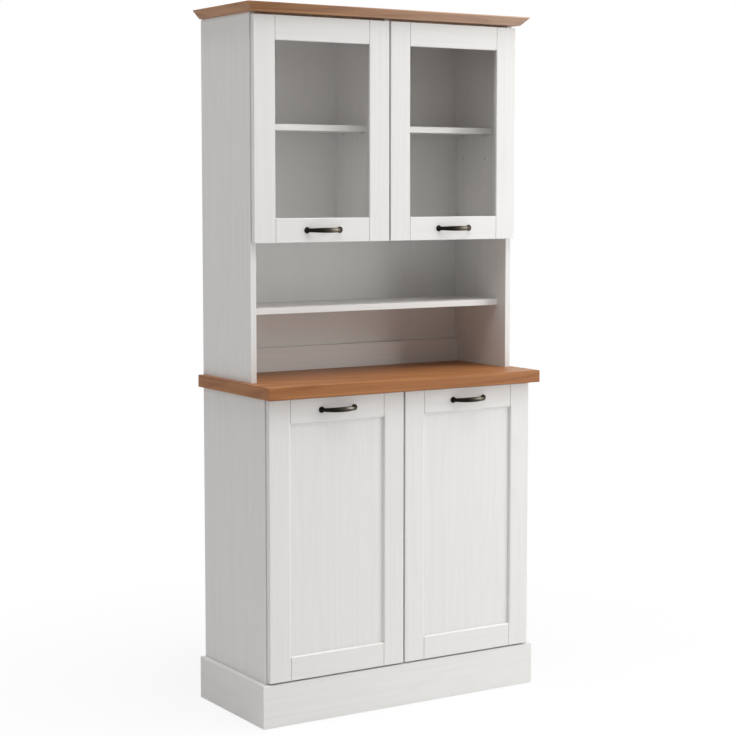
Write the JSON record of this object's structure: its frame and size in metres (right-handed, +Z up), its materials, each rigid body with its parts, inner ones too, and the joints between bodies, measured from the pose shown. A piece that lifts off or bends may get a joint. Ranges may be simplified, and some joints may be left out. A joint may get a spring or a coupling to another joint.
{
  "type": "step back cupboard",
  "caption": "White step back cupboard: panelled two-door base, brown worktop, open niche with shelf, glazed two-door hutch and flared brown cornice.",
  "frame": {"origin": "on the floor, at the middle of the footprint box", "axes": "+Z up, the doors face -Y, +X to the right as seen from the front"},
  "size_m": [0.852, 0.378, 1.802],
  "materials": {
    "white_pine": "white-limed pine grain, satin",
    "white_board": "white-faced fibreboard, matte",
    "brown_wood": "cherry-brown wood grain, satin lacquer",
    "dowel_wood": "plain beech",
    "clear_glass": "clear float glass",
    "antique_bronze": "antique bronze, dark, rubbed",
    "hinge_steel": "nickel-plated steel",
    "zinc": "zinc-plated",
    "bead_plastic": "white plastic bead, matte",
    "dark_plastic": "dark nylon, matte",
    "soft_plastic": "clear soft pad"
  },
  "bodies": {
    "carcass": {"base_back_panel": "white_board", "base_floor": "white_pine", "base_partition": "white_pine", "base_shelf_left": "white_pine", "base_shelf_right": "white_pine", "base_side_left": "white_pine", "base_side_right": "white_pine", "cam_fittings": "zinc", "carcass_screws": "zinc", "cornice": "brown_wood", "door_bumpers": "soft_plastic", "floor_bearer": "white_pine", "floor_glides": "dark_plastic", "hinge_arms": "hinge_steel", "hinge_plates": "hinge_steel", "hutch_back_panel": "white_board", "hutch_fixing_rails": "white_pine", "hutch_floor": "white_pine", "hutch_partition": "white_pine", "hutch_shelf_left": "white_pine", "hutch_shelf_right": "white_pine", "hutch_side_left": "white_pine", "hutch_side_right": "white_pine", "niche_back_rail": "white_pine", "niche_shelf": "white_pine", "plinth_front": "white_pine", "plinth_rear_rail": "white_pine", "plinth_side_left": "white_pine", "plinth_side_right": "white_pine", "shelf_pins": "zinc", "wood_dowels": "dowel_wood", "worktop": "brown_wood"},
    "upper_left_door": {"upper_left_glass": "clear_glass", "upper_left_glazing_beads": "bead_plastic", "upper_left_handle": "antique_bronze", "upper_left_hinge_cups_and_pins": "hinge_steel", "upper_left_rails": "white_pine", "upper_left_screws": "zinc", "upper_left_stiles": "white_pine"},
    "upper_right_door": {"upper_right_glass": "clear_glass", "upper_right_glazing_beads": "bead_plastic", "upper_right_handle": "antique_bronze", "upper_right_hinge_cups_and_pins": "hinge_steel", "upper_right_rails": "white_pine", "upper_right_screws": "zinc", "upper_right_stiles": "white_pine"},
    "lower_left_door": {"lower_left_handle": "antique_bronze", "lower_left_hinge_cups_and_pins": "hinge_steel", "lower_left_panel": "white_pine", "lower_left_rails": "white_pine", "lower_left_screws": "zinc", "lower_left_stiles": "white_pine"},
    "lower_right_door": {"lower_right_handle": "antique_bronze", "lower_right_hinge_cups_and_pins": "hinge_steel", "lower_right_panel": "white_pine", "lower_right_rails": "white_pine", "lower_right_screws": "zinc", "lower_right_stiles": "white_pine"}
  },
  "joints": [
    {"name": "upper_left_door_hinge", "type": "hinge", "parent": "carcass", "child": "upper_left_door", "pos_m": [-0.391, -0.08523, 1.493], "axis": [0, 0, -1], "range_deg": [0, 95]},
    {"name": "upper_right_door_hinge", "type": "hinge", "parent": "carcass", "child": "upper_right_door", "pos_m": [0.391, -0.08523, 1.493], "axis": [0, 0, 1], "range_deg": [0, 95]},
    {"name": "lower_left_door_hinge", "type": "hinge", "parent": "carcass", "child": "lower_left_door", "pos_m": [-0.391, -0.15523, 0.471], "axis": [0, 0, -1], "range_deg": [0, 95]},
    {"name": "lower_right_door_hinge", "type": "hinge", "parent": "carcass", "child": "lower_right_door", "pos_m": [0.391, -0.15523, 0.471], "axis": [0, 0, 1], "range_deg": [0, 95]}
  ]
}
